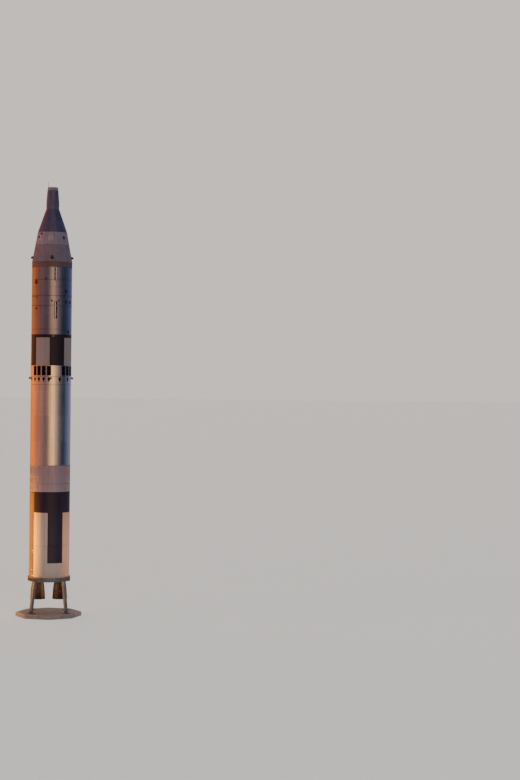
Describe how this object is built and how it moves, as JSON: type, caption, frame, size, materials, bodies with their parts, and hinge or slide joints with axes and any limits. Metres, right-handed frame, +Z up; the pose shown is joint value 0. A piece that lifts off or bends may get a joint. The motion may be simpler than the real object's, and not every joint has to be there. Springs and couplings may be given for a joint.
{
  "type": "space rocket",
  "caption": "Two-stage liquid-fuel space rocket with a conical crew capsule, gimballed engines and opening hatches, on a steel stand and concrete plinth.",
  "frame": {"origin": "centre of the underside of the concrete plinth, on the rocket's own axis", "axes": "+Z up along the rocket's axis towards its nose, -Y towards the picture's viewer, +X to the viewer's right; the capsule's hatches face +Y"},
  "size_m": [4.979, 4.979, 32.97],
  "materials": {
    "concrete": "cast concrete, weathered",
    "stand": "grey paint on steel",
    "skin": "glossy bare skin",
    "ribbed": "dull bare skin with stringers",
    "paint": "white paint with black roll pattern",
    "ring": "dark brown paint",
    "adapter": "matt light grey paint",
    "capsule": "satin blue-black shingles",
    "cap": "matt grey",
    "glass": "dark window",
    "seat": "woven seat cover",
    "panel": "grey instrument panel",
    "engine": "bare and painted steel",
    "nozzle": "brazed steel tubes, heat stained"
  },
  "bodies": {
    "rocket": {"plinth": "concrete", "stand_ring": "stand", "stand_leg_1": "stand", "stand_leg_2": "stand", "stand_leg_3": "stand", "stand_leg_4": "stand", "aft_skirt": "paint", "stage1_fuel_tank": "paint", "stage1_between_tanks": "ribbed", "stage1_oxidizer_tank": "skin", "stage1_forward_skirt": "skin", "interstage": "skin", "stage2_aft_skirt": "paint", "stage2_fuel_tank": "skin", "stage2_between_tanks": "skin", "stage2_oxidizer_tank": "skin", "forward_ring": "ring", "stage2_lower_fairing": "skin", "stage2_upper_fairing": "skin", "equipment_adapter": "adapter", "retro_adapter": "adapter", "cabin_shell": "capsule", "seat_left": "seat", "seat_right": "seat", "instrument_panel": "panel", "control_section": "capsule", "recovery_section": "capsule", "nose_cap": "cap", "engine_frame": "engine", "turbopump_left": "engine", "turbopump_right": "engine", "stage2_thrust_cone": "engine"},
    "gimbal_left": {"gimbal_cross_left": "engine"},
    "chamber_left": {"thrust_chamber_left": "nozzle"},
    "gimbal_right": {"gimbal_cross_right": "engine"},
    "chamber_right": {"thrust_chamber_right": "nozzle"},
    "stage2_gimbal": {"stage2_gimbal_cross": "engine"},
    "stage2_chamber": {"stage2_thrust_chamber": "nozzle"},
    "left_side_rod": {"side_rod_left": "engine"},
    "left_front_rod": {"front_rod_left": "engine"},
    "right_side_rod": {"side_rod_right": "engine"},
    "right_front_rod": {"front_rod_right": "engine"},
    "left_hatch": {"hatch_left": "capsule", "hatch_glass_left": "glass"},
    "right_hatch": {"hatch_right": "capsule", "hatch_glass_right": "glass"}
  },
  "joints": [
    {"name": "left_chamber_pitch", "type": "hinge", "parent": "rocket", "child": "gimbal_left", "pos_m": [-0.83, 0, 4.3], "axis": [1, 0, 0], "range_deg": [-4.5, 4.5]},
    {"name": "left_chamber_yaw", "type": "hinge", "parent": "gimbal_left", "child": "chamber_left", "pos_m": [-0.83, 0, 4.3], "axis": [0, 1, 0], "range_deg": [-4.5, 4.5]},
    {"name": "right_chamber_pitch", "type": "hinge", "parent": "rocket", "child": "gimbal_right", "pos_m": [0.83, 0, 4.3], "axis": [1, 0, 0], "range_deg": [-4.5, 4.5]},
    {"name": "right_chamber_yaw", "type": "hinge", "parent": "gimbal_right", "child": "chamber_right", "pos_m": [0.83, 0, 4.3], "axis": [0, 1, 0], "range_deg": [-4.5, 4.5]},
    {"name": "stage2_chamber_pitch", "type": "hinge", "parent": "rocket", "child": "stage2_gimbal", "pos_m": [0, 0, 20.6], "axis": [1, 0, 0], "range_deg": [-2.5, 2.5]},
    {"name": "stage2_chamber_yaw", "type": "hinge", "parent": "stage2_gimbal", "child": "stage2_chamber", "pos_m": [0, 0, 20.6], "axis": [0, 1, 0], "range_deg": [-2.5, 2.5]},
    {"name": "left_side_rod_slide", "type": "slide", "parent": "rocket", "child": "left_side_rod", "axis": [0, 0, 1], "range_m": [-0.036, 0.036]},
    {"name": "left_front_rod_slide", "type": "slide", "parent": "rocket", "child": "left_front_rod", "axis": [0, 0, 1], "range_m": [-0.036, 0.036]},
    {"name": "right_side_rod_slide", "type": "slide", "parent": "rocket", "child": "right_side_rod", "axis": [0, 0, 1], "range_m": [-0.036, 0.036]},
    {"name": "right_front_rod_slide", "type": "slide", "parent": "rocket", "child": "right_front_rod", "axis": [0, 0, 1], "range_m": [-0.036, 0.036]},
    {"name": "left_hatch_hinge", "type": "hinge", "parent": "rocket", "child": "left_hatch", "pos_m": [-0.83514, 0.54235, 29.50852], "axis": [0.2749, -0.1785, 0.9448], "range_deg": [0, 80]},
    {"name": "right_hatch_hinge", "type": "hinge", "parent": "rocket", "child": "right_hatch", "pos_m": [0.83514, 0.54235, 29.50852], "axis": [0.2749, 0.1785, -0.9448], "range_deg": [0, 80]}
  ],
  "couplings": [
    {"joint": "left_side_rod_slide", "follows": "left_chamber_yaw", "m_per_rad": -0.45},
    {"joint": "left_front_rod_slide", "follows": "left_chamber_pitch", "m_per_rad": -0.45},
    {"joint": "right_side_rod_slide", "follows": "right_chamber_yaw", "m_per_rad": 0.45},
    {"joint": "right_front_rod_slide", "follows": "right_chamber_pitch", "m_per_rad": -0.45}
  ]
}
